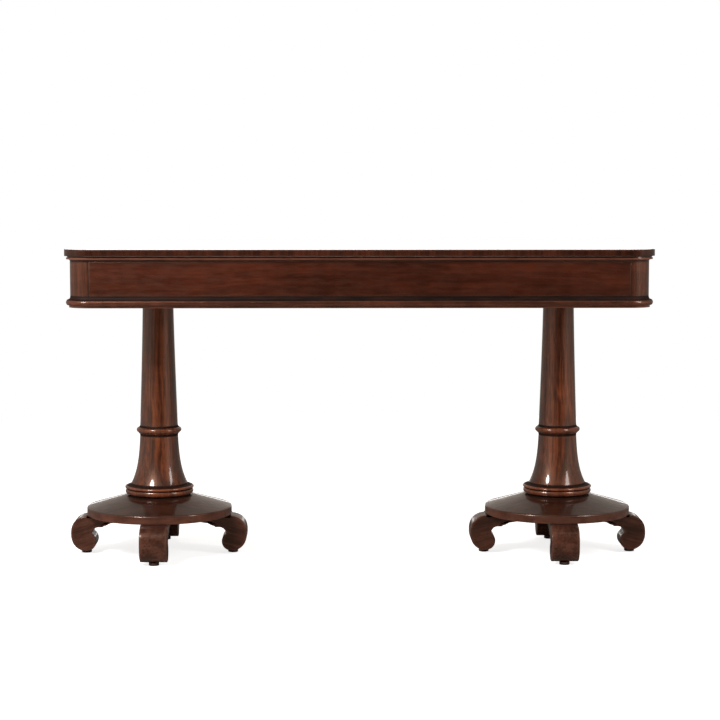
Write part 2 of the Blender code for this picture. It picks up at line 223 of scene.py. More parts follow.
def block(low, high, width, inset):
    """A board between two corners, with rounded edges."""
    corners = [(low[0], low[1]), (high[0], low[1]), (high[0], high[1]), (low[0], high[1])]
    bm = loft([[(x, y, z) for x, y in corners] for z in (low[2], high[2])])
    bevelled(bm, width, inset)
    return bm


def hollow_finish(bm):
    """A test that gives faces in the hollows the second finish."""
    glaze_and_shade = bm.verts.layers.float.get("glaze_and_shade")
    matt_from = 0.45

    def finish_of(face):
        return 1 if sum(vert[glaze_and_shade] for vert in face.verts) / len(face.verts) > matt_from else 0

    return finish_of


def skin(node, bm, finishes, grain, shift=None, finish_of=None):
    """Puts a finished mesh in place of a CAD node: its grain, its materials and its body."""
    mesh = bpy.data.meshes.new(f"{node}_finished")
    painted = grain_layer(bm, grain, node)
    if shift is not None:
        bmesh.ops.transform(bm, matrix=shift, verts=bm.verts)
    if finish_of is not None:
        for face in bm.faces:
            face.material_index = finish_of(face)
    bm.to_mesh(mesh)
    bm.free()
    layer = mesh.attributes.new("grain", "FLOAT_VECTOR", "CORNER")
    layer.data.foreach_set("vector", [number for value in painted for number in value])
    mesh.shade_smooth()
    mesh.set_sharp_from_angle(angle=SHARP_ANGLE)
    for finish in finishes:
        mesh.materials.append(finish)
    piece = bpy.data.objects.new(f"{node}_finished", mesh)
    bpy.context.scene.collection.objects.link(piece)
    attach(piece, BODY_OF[node])
    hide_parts(node)
    return piece


def grain_layer(bm, grain, node):
    """Each face corner's place, (along the grain, across it, into it), in a board of the node's own."""
    draw = random.Random(node)
    board = Vector([draw.uniform(1, 9) for _ in range(3)])
    values = []
    for face in bm.faces:
        middle = face.calc_center_median()
        for corner in face.loops:
            values.append(board + Vector(grain(corner.vert.co, middle, face.normal)))
    return values


# ---------------- how the grain runs


def grain_x(place, middle, normal):
    return place.x, place.y, place.z


def grain_y(place, middle, normal):
    return place.y, place.x, place.z


def grain_z(place, middle, normal):
    return place.z, place.x, place.y


def run_of(place, middle):
    """How far along the edge a place is. The corners go with the long sides, and the ends are apart."""
    if abs(middle.y) < STRAIGHT_Y:
        return place.y
    past_x = max(abs(place.x) - STRAIGHT_X, 0.0)
    past_y = max(abs(place.y) - STRAIGHT_Y, 0.0)
    turn = math.atan2(past_x, max(past_y, 1e-9))
    return math.copysign(min(abs(place.x), STRAIGHT_X) + CORNER_RADIUS * turn, place.x)


def reach_of(place):
    """How far a place lies outside the straight-sided core of the plan."""
    past_x = max(abs(place.x) - STRAIGHT_X, 0.0)
    past_y = max(abs(place.y) - STRAIGHT_Y, 0.0)
    return math.hypot(past_x, past_y)


def grain_moulding(place, middle, normal):
    """Long grain that follows the edge; straight through the rail on its flat faces."""
    if abs(normal.z) > 0.99:
        return place.x, place.y, place.z
    return run_of(place, middle), reach_of(place), place.z


def grain_upright(place, middle, normal):
    return place.z, run_of(place, middle), 0.0


def grain_top(place, middle, normal):
    """Long grain in the field, and short grain square to the edge in the border and down the edge."""
    in_field = abs(middle.x) < TOP_HIGH.x - BORDER_WIDTH and abs(middle.y) < TOP_HIGH.y - BORDER_WIDTH
    if abs(normal.z) > 0.9 and (in_field or normal.z < 0):
        return place.x, place.y, 0.0
    return reach_of(place) - place.z, run_of(place, middle), 0.0


def grain_foot(place, middle, normal):
    """A foot is cut from a plank, so its grain leans along the scroll."""
    lean = math.radians(14)
    along = place.x * math.cos(lean) - place.z * math.sin(lean)
    across = place.x * math.sin(lean) + place.z * math.cos(lean)
    return along, across, place.y


# ---------------- material nodes


def new_material(name):
    made = bpy.data.materials.new(name)
    made.use_nodes = True
    tree = made.node_tree
    return made, tree, tree.nodes["Principled BSDF"]


def join(tree, value, socket):
    """Links a socket, or sets a plain value."""
    if isinstance(value, bpy.types.NodeSocket):
        tree.links.new(value, socket)
    else:
        socket.default_value = value


def attribute(tree, name, output):
    node = tree.nodes.new("ShaderNodeAttribute")
    node.attribute_name = name
    return node.outputs[output]


def object_place(tree, order):
    """The object's own coordinates with their axes reordered, so that the first runs along the grain."""
    place = tree.nodes.new("ShaderNodeTexCoord").outputs["Object"]
    split = tree.nodes.new("ShaderNodeSeparateXYZ")
    join(tree, place, split.inputs[0])
    joined = tree.nodes.new("ShaderNodeCombineXYZ")
    for axis, socket in zip(order, joined.inputs):
        join(tree, split.outputs[axis], socket)
    return joined.outputs[0]


def maths(tree, operation, a, b=0.0, clamp=False):
    node = tree.nodes.new("ShaderNodeMath")
    node.operation = operation
    node.use_clamp = clamp
    join(tree, a, node.inputs[0])
    join(tree, b, node.inputs[1])
    return node.outputs[0]


def vector_maths(tree, operation, a, b):
    node = tree.nodes.new("ShaderNodeVectorMath")
    node.operation = operation
    join(tree, a, node.inputs[0])
    join(tree, b, node.inputs[1])
    return node.outputs[0]


def noise(tree, place, scale, detail=2.0, roughness=0.5):
    """Noise stretched by a scale for each axis, as a factor about 0.5."""
    node = tree.nodes.new("ShaderNodeTexNoise")
    join(tree, vector_maths(tree, "MULTIPLY", place, scale), node.inputs["Vector"])
    node.inputs["Scale"].default_value = 1.0
    node.inputs["Detail"].default_value = detail
    node.inputs["Roughness"].default_value = roughness
    return node.outputs["Fac"]


def spread(tree, value, low, high, to_low=0.0, to_high=1.0):
    """A value's range mapped smoothly to another, clamped at both ends."""
    node = tree.nodes.new("ShaderNodeMapRange")
    node.interpolation_type = "SMOOTHSTEP"
    join(tree, value, node.inputs["Value"])
    node.inputs["From Min"].default_value = low
    node.inputs["From Max"].default_value = high
    node.inputs["To Min"].default_value = to_low
    node.inputs["To Max"].default_value = to_high
    return node.outputs["Result"]


def mix(tree, factor, a, b, blend="MIX"):
    node = tree.nodes.new("ShaderNodeMix")
    node.data_type = "RGBA"
    node.blend_type = blend
    colours = [socket for socket in node.inputs if socket.type == "RGBA"]
    join(tree, factor, node.inputs[0])
    for value, socket in zip((a, b), colours):
        join(tree, (*value, 1.0) if isinstance(value, tuple) else value, socket)
    return next(socket for socket in node.outputs if socket.type == "RGBA")


def ramp(tree, value, stops, interpolation="LINEAR"):
    node = tree.nodes.new("ShaderNodeValToRGB")
    band = node.color_ramp
    band.interpolation = interpolation
    while len(band.elements) < len(stops):
        band.elements.new(1.0)
    for element, (position, colour) in zip(band.elements, stops):
        element.position = position
        element.color = (*colour, 1.0)
    join(tree, value, node.inputs[0])
    return node.outputs["Color"]


def bump(tree, height, distance, strength, below=None):
    node = tree.nodes.new("ShaderNodeBump")
    node.inputs["Distance"].default_value = distance
    node.inputs["Strength"].default_value = strength
    join(tree, height, node.inputs["Height"])
    if below is not None:
        join(tree, below, node.inputs["Normal"])
    return node.outputs["Normal"]


# ---------------- materials


def wandering(tree, grain, amount):
    """Grain coordinates whose lines wander a little from side to side."""
    drift = noise(tree, grain, (2.6, 7.0, 7.0), 2.0)
    sideways = maths(tree, "MULTIPLY", maths(tree, "SUBTRACT", drift, 0.5), amount)
    joined = tree.nodes.new("ShaderNodeCombineXYZ")
    join(tree, sideways, joined.inputs[1])
    join(tree, sideways, joined.inputs[2])
    return vector_maths(tree, "ADD", grain, joined.outputs[0])


def mahogany(name, dark, middle, light, figure=0.12, stripe_width=0.030, streaks=0.45, polish=1.0):
    """Stained and polished mahogany: stripes, streaks, pores, a ribbon figure, dark glaze with painted shade
    in the hollows and rubbed edges lighter with a painted highlight, under a clear coat."""
    made, tree, shader = new_material(name)
    grain = attribute(tree, "grain", "Vector")
    hollow = attribute(tree, "glaze_and_shade", "Fac")
    crest = attribute(tree, "wear_and_highlight", "Fac")
    wood = wandering(tree, grain, 0.05)

    # stripes and streaks that run with the grain
    across = 1.0 / stripe_width
    stripe = noise(tree, wood, (1.7, across, across), 3.0, 0.55)
    streak = noise(tree, wood, (9.0, 230.0, 230.0), 4.0, 0.6)
    line = noise(tree, wood, (22.0, 900.0, 900.0), 3.0)
    tone = maths(tree, "ADD", maths(tree, "MULTIPLY", stripe, 0.50), maths(tree, "MULTIPLY", streak, 0.34))
    tone = maths(tree, "ADD", tone, maths(tree, "MULTIPLY", line, 0.16))
    colour = ramp(tree, tone, ((0.43, dark), (0.50, middle), (0.57, light)))

    # dark streaks, a ribbon across the grain and broad clouds
    dark_streak = spread(tree, noise(tree, wood, (7.0, 160.0, 160.0), 3.0, 0.6), 0.52, 0.66)
    streak_level = maths(tree, "SUBTRACT", 1.0, maths(tree, "MULTIPLY", dark_streak, streaks))
    colour = mix(tree, 1.0, colour, streak_level, "MULTIPLY")
    ribbon = noise(tree, wood, (42.0, 12.0, 12.0), 2.0)
    ribbon_level = spread(tree, ribbon, 0.32, 0.68, 1.0 - figure, 1.0 + figure)
    colour = mix(tree, 1.0, colour, ribbon_level, "MULTIPLY")
    cloud = noise(tree, grain, (5.0, 14.0, 14.0), 3.0)
    cloud_level = spread(tree, cloud, 0.30, 0.70, 0.82, 1.18)
    colour = mix(tree, 1.0, colour, cloud_level, "MULTIPLY")

    # pores and flecks
    pores = spread(tree, noise(tree, grain, (110.0, 2100.0, 2100.0), 2.0), 0.60, 0.70)
    colour = mix(tree, maths(tree, "MULTIPLY", pores, 0.55), colour, (0.010, 0.004, 0.003))
    fleck = spread(tree, noise(tree, grain, (260.0, 330.0, 330.0), 1.0), 0.745, 0.775)
    colour = mix(tree, maths(tree, "MULTIPLY", fleck, 0.6), colour, (0.008, 0.004, 0.003))

    # rubbed edges lighter with a painted highlight, and dark glaze with painted shade in the hollows
    rubbed_and_highlit = noise(tree, grain, (18.0, 60.0, 60.0), 3.0)
    rubbed_and_highlit = maths(tree, "MULTIPLY", crest, spread(tree, rubbed_and_highlit, 0.36, 0.62, 0.35, 0.85))
    colour = mix(tree, rubbed_and_highlit, colour, tuple(1.25 * level + 0.012 for level in light))
    glaze_and_shade_amount = noise(tree, grain, (14.0, 90.0, 90.0), 3.0)
    glaze_and_shade_amount = maths(tree, "MULTIPLY", hollow, spread(tree, glaze_and_shade_amount, 0.30, 0.60, 0.62, 0.96), clamp=True)
    colour = mix(tree, glaze_and_shade_amount, colour, (0.010, 0.0062, 0.0050))
    join(tree, colour, shader.inputs["Base Color"])

    # gloss
    sheen = spread(tree, noise(tree, grain, (30.0, 120.0, 120.0), 3.0), 0.3, 0.7, 0.28, 0.40)
    rough = maths(tree, "ADD", sheen, maths(tree, "MULTIPLY", glaze_and_shade_amount, 0.25))
    join(tree, rough, shader.inputs["Roughness"])
    shader.inputs["Specular IOR Level"].default_value = 0.8 * polish
    shader.inputs["Specular Tint"].default_value = (1.0, 0.56, 0.39, 1.0)
    shader.inputs["Coat Weight"].default_value = 0.85 * polish
    shader.inputs["Coat Roughness"].default_value = 0.07
    shader.inputs["Coat IOR"].default_value = 1.46

    # the polish has fine waves, and the wood under it is open-grained
    waves = bump(tree, noise(tree, grain, (9.0, 22.0, 22.0), 2.0), 0.0006, 0.5)
    raised = maths(tree, "SUBTRACT", maths(tree, "MULTIPLY", streak, 0.35), pores)
    join(tree, bump(tree, raised, 0.00010, 0.5, waves), shader.inputs["Normal"])
    join(tree, waves, shader.inputs["Coat Normal"])
    return made


def matt_hollow(name):
    """The hollows of mouldings and turned work, dark with glaze and painted shade, where no polish reaches.
    """
    made, tree, shader = new_material(name)
    grain = attribute(tree, "grain", "Vector")
    hollow = attribute(tree, "glaze_and_shade", "Fac")
    patch = noise(tree, grain, (16.0, 110.0, 110.0), 4.0, 0.6)
    # painted shade with glaze: a darker wood, and darker still where the hollow mark is high
    wood = ramp(tree, patch, ((0.36, (0.026, 0.0080, 0.0046)), (0.64, (0.050, 0.0150, 0.0084))))
    glaze_and_shade_amount = maths(tree, "MULTIPLY", hollow, spread(tree, patch, 0.30, 0.62, 0.98, 0.70))
    join(tree, mix(tree, glaze_and_shade_amount, wood, (0.008, 0.0042, 0.0032)), shader.inputs["Base Color"])
    join(tree, spread(tree, patch, 0.3, 0.7, 0.50, 0.62), shader.inputs["Roughness"])
    shader.inputs["Specular IOR Level"].default_value = 0.10
    join(tree, bump(tree, patch, 0.0002, 0.5), shader.inputs["Normal"])
    return made


def secondary_wood(name, order):
    """Pale straight-grained wood under a thin matt lacquer."""
    made, tree, shader = new_material(name)
    grain = object_place(tree, order)
    wood = wandering(tree, grain, 0.03)
    stripe = noise(tree, wood, (1.4, 55.0, 55.0), 3.0, 0.55)
    line = noise(tree, wood, (7.0, 620.0, 620.0), 3.0, 0.6)
    tone = maths(tree, "ADD", maths(tree, "MULTIPLY", stripe, 0.6), maths(tree, "MULTIPLY", line, 0.4))
    stops = ((0.36, (0.34, 0.20, 0.10)), (0.50, (0.47, 0.31, 0.17)), (0.64, (0.58, 0.42, 0.25)))
    colour = ramp(tree, tone, stops)
    pores = spread(tree, noise(tree, grain, (90.0, 1500.0, 1500.0), 2.0), 0.60, 0.70)
    colour = mix(tree, maths(tree, "MULTIPLY", pores, 0.35), colour, (0.16, 0.085, 0.040))
    soil = spread(tree, noise(tree, grain, (4.0, 9.0, 9.0), 3.0), 0.30, 0.70, 0.84, 1.08)
    join(tree, mix(tree, 1.0, colour, soil, "MULTIPLY"), shader.inputs["Base Color"])
    join(tree, spread(tree, stripe, 0.3, 0.7, 0.46, 0.60), shader.inputs["Roughness"])
    shader.inputs["Coat Weight"].default_value = 0.25
    shader.inputs["Coat Roughness"].default_value = 0.35
    raised = maths(tree, "SUBTRACT", maths(tree, "MULTIPLY", line, 0.4), pores)
    join(tree, bump(tree, raised, 0.00012, 0.6), shader.inputs["Normal"])
    return made


def antique_brass(name):
    """Brass gone brown in its hollows and bright where hands polish it."""
    made, tree, shader = new_material(name)
    place = attribute(tree, "grain", "Vector")
    hollow = attribute(tree, "glaze_and_shade", "Fac")
    crest = attribute(tree, "wear_and_highlight", "Fac")
    tarnish = noise(tree, place, (110.0, 110.0, 110.0), 4.0, 0.6)
    stops = ((0.34, (0.30, 0.17, 0.055)), (0.52, (0.52, 0.34, 0.125)), (0.68, (0.66, 0.47, 0.20)))
    colour = ramp(tree, tarnish, stops)
    colour = mix(tree, maths(tree, "MULTIPLY", crest, 0.5), colour, (0.82, 0.62, 0.30))
    dirt = maths(tree, "MULTIPLY", hollow, spread(tree, tarnish, 0.3, 0.6, 0.6, 0.95))
    join(tree, mix(tree, dirt, colour, (0.050, 0.028, 0.012)), shader.inputs["Base Color"])
    shader.inputs["Metallic"].default_value = 1.0
    scuff = spread(tree, noise(tree, place, (420.0, 420.0, 420.0), 3.0), 0.3, 0.7, 0.20, 0.36)
    join(tree, maths(tree, "ADD", scuff, maths(tree, "MULTIPLY", dirt, 0.3)), shader.inputs["Roughness"])
    join(tree, bump(tree, tarnish, 0.00025, 0.35), shader.inputs["Normal"])
    return made


def zinc_plate(name):
    """Zinc-plated sheet steel, dull and faintly clouded."""
    made, tree, shader = new_material(name)
    place = object_place(tree, "XYZ")
    cloud = noise(tree, place, (38.0, 38.0, 38.0), 4.0, 0.6)
    colour = ramp(tree, cloud, ((0.34, (0.40, 0.40, 0.39)), (0.66, (0.62, 0.62, 0.60))))
    join(tree, colour, shader.inputs["Base Color"])
    shader.inputs["Metallic"].default_value = 1.0
    join(tree, spread(tree, cloud, 0.3, 0.7, 0.34, 0.50), shader.inputs["Roughness"])
    rolled = noise(tree, place, (14.0, 700.0, 700.0), 2.0)
    join(tree, bump(tree, rolled, 0.00005, 0.4), shader.inputs["Normal"])
    return made


def brown_plastic(name):
    """Moulded brown plastic with scuffed edges."""
    made, tree, shader = new_material(name)
    place = attribute(tree, "grain", "Vector")
    crest = attribute(tree, "wear_and_highlight", "Fac")
    scuff = noise(tree, place, (160.0, 160.0, 160.0), 4.0, 0.65)
    colour = ramp(tree, scuff, ((0.35, (0.032, 0.010, 0.006)), (0.65, (0.062, 0.022, 0.014))))
    scraped = maths(tree, "MULTIPLY", crest, spread(tree, scuff, 0.4, 0.6, 0.0, 0.5))
    join(tree, mix(tree, scraped, colour, (0.14, 0.075, 0.055)), shader.inputs["Base Color"])
    join(tree, spread(tree, scuff, 0.3, 0.7, 0.34, 0.52), shader.inputs["Roughness"])
    join(tree, bump(tree, scuff, 0.0001, 0.4), shader.inputs["Normal"])
    return made


# ---------------- the top and the apron


def plan_loop(reach):
    """The rounded rectangle that lies some way outside the plan's straight-sided core."""
    points = []
    for side_x, side_y, start in ((1, 1, 0), (-1, 1, 90), (-1, -1, 180), (1, -1, 270)):
        centre = (side_x * STRAIGHT_X, side_y * STRAIGHT_Y)
        points += arc(centre, (reach, reach), start, start + 90, CORNER_STEPS)
    return points


def table_top(field, border):
    """The top: a field in a border of short grain, which goes on down the edge. Its section runs from the
    border's joint to the underside, in points of (reach, height, glaze and shade, wear and highlight).
    Painted shade darkens the foot of the edge and its lower arris, and the upper arris is lighter, wear with
    a painted highlight."""
    full = CORNER_RADIUS + OVERHANG
    inner = full - BORDER_WIDTH
    joint = 0.0006
    joint_darkening = 0.95
    # the upper arris gets a painted highlight with its wear, and the edge's foot and its lower arris get
    # painted shade
    upper = 0.0016
    upper_wear_and_highlight = 0.8
    lower = upper / 2
    lower_shade = 0.9
    edge_foot = TOP_LOW.z + (TOP_HIGH.z - TOP_LOW.z) / 5
    edge_foot_shade = 0.25
    section = [(inner - 2 * joint, TOP_HIGH.z, 0.0, 0.0), (inner - joint, TOP_HIGH.z, joint_darkening, 0.0)]
    section += [(inner, TOP_HIGH.z, joint_darkening, 0.0), (inner + joint, TOP_HIGH.z, 0.0, 0.0)]
    section.append((full - 3 * upper, TOP_HIGH.z, 0.0, 0.0))
    for point in arc((full - upper, TOP_HIGH.z - upper), (upper, upper), 90, 0, 4):
        section.append((point.x, point.y, 0.0, upper_wear_and_highlight))
    section.append((full, TOP_HIGH.z - 3 * upper, 0.0, 0.0))
    section.append((full, edge_foot, edge_foot_shade, 0.0))
    for point in arc((full - lower, TOP_LOW.z + lower), (lower, lower), 0, -90, 3):
        section.append((point.x, point.y, lower_shade, 0.0))
    rings = [[(p.x, p.y, z) for p in plan_loop(reach)] for reach, z, _, _ in section]
    bm = loft(rings, [(hollow, crest) for _, _, hollow, crest in section])

    def finish_of(face):
        return 0 if len(face.verts) > 4 and face.normal.z > 0 else 1

    return skin("table_top", bm, [field, border], grain_top, finish_of=finish_of)


def top_moulding(low, high):
    """(reach, height) up the edge of the frame under the top: a cove, a fillet and a quirk."""
    cove = 0.0046
    fillet = 0.0085
    quirk = 0.0064
    fillet_top = high - 0.0030
    hollow = arc((cove, low), (cove, cove), 180, 90, 12)
    edge = [(fillet, hollow[-1].y), (fillet, fillet_top), (quirk, fillet_top), (quirk, high)]
    return soften(hollow + [Vector(point) for point in edge], 0.0007)


def top_marks(moulding):
    """The cove and the quirk get a little glaze with painted shade from the top above them, and the fillet's
    face is made lighter, rubbed wear with a painted highlight.
    """
    glazed_and_shaded = (0.35, 0.0)
    rubbed_and_highlit = (0.0, 1.5)
    face_reach = max(point.x for point in moulding) - 0.001
    return [rubbed_and_highlit if point.x > face_reach else glazed_and_shaded for point in moulding]


def base_moulding(low, high):
    """(reach, height) up the edge of the frame under the frieze: a fillet, a bead and a cove."""
    fillet = 0.0028
    fillet_top = 0.0049
    bead_root = 0.0045
    bead_swell = 0.0054
    bead_half_height = 0.0067
    bead_middle = low + fillet_top + bead_half_height
    bead_top = bead_middle + bead_half_height
    bead = arc((bead_root, bead_middle), (bead_swell, bead_half_height), -90, 90, 18)
    cove = arc((bead_root, high), (bead_root, high - bead_top), -90, -180, 8)
    foot = [Vector((fillet, low)), Vector((fillet, low + fillet_top))]
    return soften(foot + bead + cove[1:], 0.0006)


def base_marks(moulding):
    """The hollow over the bead is full of dark glaze with painted shade, and the fillet under it is lighter,
    rubbed wear with a painted reflection.
    """
    glazed_and_shaded = (1.0, 0.0)
    rubbed_and_highlit = (0.0, 0.9)
    handled = (0.0, 0.15)
    bead_middle = max(moulding, key=lambda point: point.x).y
    bead_foot = bead_middle - 0.0062
    bead_head = bead_middle + 0.0054
    marks = []
    for point in moulding:
        if point.y > bead_head:
            marks.append(glazed_and_shaded)
        else:
            marks.append(rubbed_and_highlit if point.y < bead_foot else handled)
    return marks


def long_rail(node, moulding, marks, side_y, finishes):
    """A rail along the front or back whose moulded edge goes round both corners."""
    rings = []
    for reach, height in moulding:
        radius = CORNER_RADIUS + reach
        quarter = arc((STRAIGHT_X, STRAIGHT_Y), (radius, radius), 0, 90, CORNER_STEPS)
        plan = [(p.x, side_y * p.y) for p in quarter] + [(-p.x, side_y * p.y) for p in reversed(quarter)]
        rings.append([(x, y, height) for x, y in plan])
    bm = loft(rings, marks)
    skin(node, bm, finishes, grain_moulding, finish_of=hollow_finish(bm))


def end_rail(node, moulding, marks, side_x, finishes):
    """A rail across one end, between the long rails."""
    low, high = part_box(node)
    inner = low.x if side_x > 0 else high.x
    rings = []
    for reach, height in moulding:
        outer = side_x * (HALF_X + reach)
        plan = [(inner, low.y), (outer, low.y), (outer, high.y), (inner, high.y)]
        rings.append([(x, y, height) for x, y in plan])
    bm = loft(rings, marks)
    skin(node, bm, finishes, grain_y, finish_of=hollow_finish(bm))


def moulded_frame(name, profile, marks_of, finishes):
    """The four rails of one frame."""
    low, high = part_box(f"{name}_back_rail")
    moulding = profile(low.z, high.z)
    marks = marks_of(moulding)
    long_rail(f"{name}_front_rail", moulding, marks, 1, finishes)
    long_rail(f"{name}_back_rail", moulding, marks, -1, finishes)
    end_rail(f"{name}_left_rail", moulding, marks, -1, finishes)
    end_rail(f"{name}_right_rail", moulding, marks, 1, finishes)


def corner_post(node, side_x, side_y, finish):
    """A quarter-round post with painted shade where it meets the panels and the mouldings."""
    low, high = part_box(node)
    end_shade = ((0.0, 0.8), (0.0022, 0.35), (0.0055, 0.0))
    joint_darkening = 0.55
    joint_fading = 0.0028
    rows = [(low.z + inwards, level) for inwards, level in end_shade]
    rows += [(high.z - inwards, level) for inwards, level in reversed(end_shade)]
    quarter = arc((STRAIGHT_X, STRAIGHT_Y), (CORNER_RADIUS, CORNER_RADIUS), 0, 90, 30)
    plan = [Vector((STRAIGHT_X, STRAIGHT_Y))] + quarter
    plan = [(side_x * p.x, side_y * p.y) for p in soften(plan, 0.0007, closed=True)]
    rings = [[(x, y, height) for x, y in plan] for height, _ in rows]
    bm = loft(rings, [(level, 0.0) for _, level in rows])
    glaze_and_shade = bm.verts.layers.float.get("glaze_and_shade")
    # painted shade along the joints with the panels
    for vert in bm.verts:
        to_joint = min(abs(abs(vert.co.x) - STRAIGHT_X), abs(abs(vert.co.y) - STRAIGHT_Y))
        vert[glaze_and_shade] = max(vert[glaze_and_shade], joint_darkening * math.exp(-to_joint / joint_fading))
    skin(node, bm, [finish], grain_upright)


def panel(node, finish, grain):
    """A veneered panel whose show face gets softly darker close to its edges: painted shade where it meets
    its neighbours.
    """
    low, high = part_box(node)
    arris_shade = 0.75
    rim_shade = 0.45
    fading = ((0.0035, 0.22), (0.0070, 0.0))
    bm = block(low, high, width=0.0003, inset=0.0010)
    glaze_and_shade = bm.verts.layers.float.get("glaze_and_shade")
    crest = bm.verts.layers.float.get("wear_and_highlight")
    largest = max(face.calc_area() for face in bm.faces)
    show = [face for face in bm.faces if face.calc_area() > largest / 2]
    # painted shade: darkest on the arrises and back, fading inwards from the show face's edge
    for vert in bm.verts:
        vert[glaze_and_shade] = arris_shade
        vert[crest] = 0.0
    for face in show:
        for vert in face.verts:
            vert[glaze_and_shade] = rim_shade
    for thickness, level in fading:
        bmesh.ops.inset_individual(bm, faces=show, thickness=thickness)
        for face in show:
            for vert in face.verts:
                vert[glaze_and_shade] = level
    skin(node, bm, [finish], grain)


# ---------------- the pedestals


def column_outline(base, top, collar_radius):
    """(radius, height) up the column: collar, trumpet flare, ring and tapered shaft."""
    neck_radius = 0.0740
    neck_height = 0.0032
    bead_radii = (0.0047, 0.0063)
    lip_radii = (0.0040, 0.0034)
    lip_middle = base + 0.0199
    bead_middle = base + neck_height + bead_radii[1]
    neck = [Vector((neck_radius, base)), Vector((neck_radius, base + neck_height))]
    bead = arc((neck_radius + bead_radii[0], bead_middle), bead_radii, -90, 80, 14)
    lip = arc((collar_radius - lip_radii[0], lip_middle), lip_radii, -80, 90, 14)

    ring_height = base + 0.1611
    flare_bottom = base + 0.0262
    flare_top = ring_height - 0.0150
    narrow_radius = 0.0446
    spread_at_foot = 0.0260
    fading_height = 0.047
    flare_steps = 36
    flare = []
    for i in range(flare_steps + 1):
        height = flare_bottom + (flare_top - flare_bottom) * i / flare_steps
        flare_spread = spread_at_foot * math.exp((flare_bottom - height) / fading_height)
        flare.append(Vector((narrow_radius + flare_spread, height)))

    shaft_bottom = ring_height + 0.0125
    ring_foot = arc((0.0500, flare_top), (0.0035, 0.0070), 180, 90, 6)
    ring = arc((0.0500, ring_height), (0.0051, 0.0059), -80, 80, 18)
    ring_head = arc((0.0505, shaft_bottom), (0.0042, 0.0062), -90, -170, 6)

    top_radius = 0.0374
    shaft_spread = 0.0088
    swelling = 1.25
    shaft_steps = 30
    shaft = []
    for i in range(1, shaft_steps + 1):
        height = shaft_bottom + (top - shaft_bottom) * i / shaft_steps
        below_top = (top - height) / (top - shaft_bottom)
        shaft.append(Vector((top_radius + shaft_spread * below_top**swelling, height)))
    return soften(neck + bead + lip + flare + ring_foot + ring + ring_head + shaft, 0.0006)


def column(side, finishes):
    """The column with its tenon, with painted shadow under the apron, and darker over the collar."""
    node = f"column_{side}"
    low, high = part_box(node)
    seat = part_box(f"platform_{side}")[1].z
    tenon_radius = 0.025
    centre_x = (low.x + high.x) / 2
    outline = column_outline(seat + GAP, high.z, (high.x - low.x) / 2)
    outline = [Vector((tenon_radius, low.z)), Vector((tenon_radius, seat + GAP))] + outline
    bm = turned(outline, TURNED_SEGMENTS)
    glaze_and_shade = bm.verts.layers.float.get("glaze_and_shade")
    collar_top = seat + 0.026
    flare_foot = seat + 0.030
    apron_shadow = 0.44
    apron_fading = 0.035
    collar_darkening = 0.38
    collar_fading = 0.055
    # painted shadow fading down from under the apron, and darkening fading up from the collar
    for vert in bm.verts:
        under_apron = apron_shadow * math.exp((vert.co.z - high.z) / apron_fading)
        over_collar = collar_darkening * math.exp(-max(vert.co.z - flare_foot, 0.0) / collar_fading)
        vert[glaze_and_shade] = max(vert[glaze_and_shade], under_apron, over_collar if vert.co.z > collar_top else 0.0)
    skin(node, bm, finishes, grain_z, Matrix.Translation((centre_x, 0, 0)), hollow_finish(bm))


def platform(side, finishes):
    """The domed round platform, with a crisp upper edge to its rim and the socket for the tenon."""
    node = f"platform_{side}"
    low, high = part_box(node)
    radius = (high.x - low.x) / 2
    centre_x = (low.x + high.x) / 2
    socket = 0.0253
    rim_foot = 0.002
    rim_top = low.z + 0.0172
    rounding = 0.0035
    seat_radius = 0.082
    dome_steps = 24
    collar_shade_fading = 0.006
    edge = arc((radius - rounding, rim_top), (rounding, rounding), 0, 70, 8)
    foot = arc((radius - rim_foot, low.z + rim_foot), (rim_foot, rim_foot), -90, 0, 4)
    seat_edge = Vector((seat_radius, high.z))
    dome = [edge[-1].lerp(seat_edge, i / dome_steps) for i in range(1, dome_steps + 1)]
    outline = [Vector((socket, low.z))] + foot + edge + dome + [Vector((socket, high.z))]
    bm = turned(outline, PLATFORM_SEGMENTS, closed_section=True)
    glaze_and_shade = bm.verts.layers.float.get("glaze_and_shade")
    # painted shade on the dome, fading out from the collar
    for vert in bm.verts:
        past_collar = math.hypot(vert.co.x, vert.co.y) - seat_radius
        if vert.co.z > rim_top:
            vert[glaze_and_shade] = math.exp(-max(past_collar, 0.0) / collar_shade_fading)

    def rim_or_dome(face):
        return 1 if face.calc_center_median().z < rim_top else 0

    skin(node, bm, finishes, grain_x, Matrix.Translation((centre_x, 0, 0)), rim_or_dome)


def foot_outline(top, bottom, platform_radius):
    """(reach, height) round the side of a scroll foot, from its root under the platform."""
    scroll_centre = (0.1705, 0.0515)
    scroll_half_width = 0.0458
    scroll_rise = 0.0430
    scroll_drop = 0.0450
    curl_centre = (0.1775, 0.0310)
    curl_radius = curl_centre[1] - bottom
    notch_centre = (0.1486, 0.0500)
    notch_radius = 0.0164
    root_reach = 0.060
    root_bottom = 0.084
    clear = platform_radius + GAP
    shoulder = full_arc(scroll_centre, (scroll_half_width, scroll_rise), 81, 0, 24)
    root = [(root_reach, root_bottom), (root_reach, top), (clear, top), (clear, shoulder[0].y)]
    toe = full_arc(scroll_centre, (scroll_half_width, scroll_drop), 0, -73.7, 22)
    curl = arc(curl_centre, (curl_radius, curl_radius), -90, -236, 28)
    notch = arc(notch_centre, (notch_radius, notch_radius), 0, 90, 14)
    bracket = [(0.1385, 0.0664), (0.1360, 0.0690), (0.1290, 0.0710), (0.1200, 0.0760), (0.0900, 0.0800)]
    outline = [Vector(p) for p in root] + shoulder[1:] + toe[1:] + curl + notch[1:]
    outline += [Vector(p) for p in bracket]
    return soften(outline, 0.0012, closed=True)


